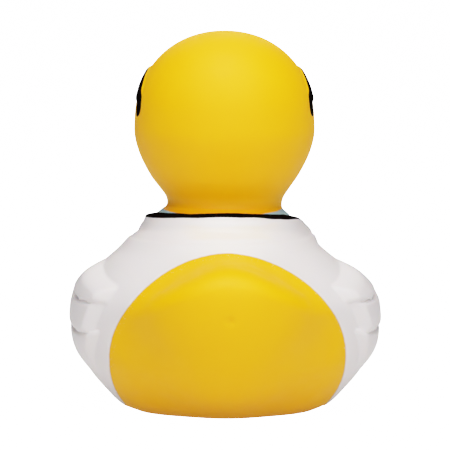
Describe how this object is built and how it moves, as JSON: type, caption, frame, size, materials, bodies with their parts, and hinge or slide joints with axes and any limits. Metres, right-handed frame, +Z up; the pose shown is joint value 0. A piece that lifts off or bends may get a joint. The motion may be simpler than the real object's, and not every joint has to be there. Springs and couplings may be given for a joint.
{
  "type": "rubber duck",
  "caption": "Hollow vinyl bath duck in a painted white coat with rolled collar, glasses and folded wings, with a squeaker pressed into its flat base",
  "frame": {"origin": "centre of the duck's footprint, on the plane that the base stands on", "axes": "+Z up; the bill points along -Y and the tail along +Y; +X is the duck's own left"},
  "size_m": [0.0723, 0.0796, 0.088],
  "materials": {
    "vinyl": "satin",
    "squeaker_plastic": "satin",
    "reed_brass": "satin"
  },
  "bodies": {
    "root": {"duck_shell": "vinyl", "squeaker_housing": "squeaker_plastic", "squeaker_reed_holder": "squeaker_plastic", "squeaker_reed_clamp": "squeaker_plastic", "squeaker_reed": "reed_brass"}
  },
  "joints": []
}
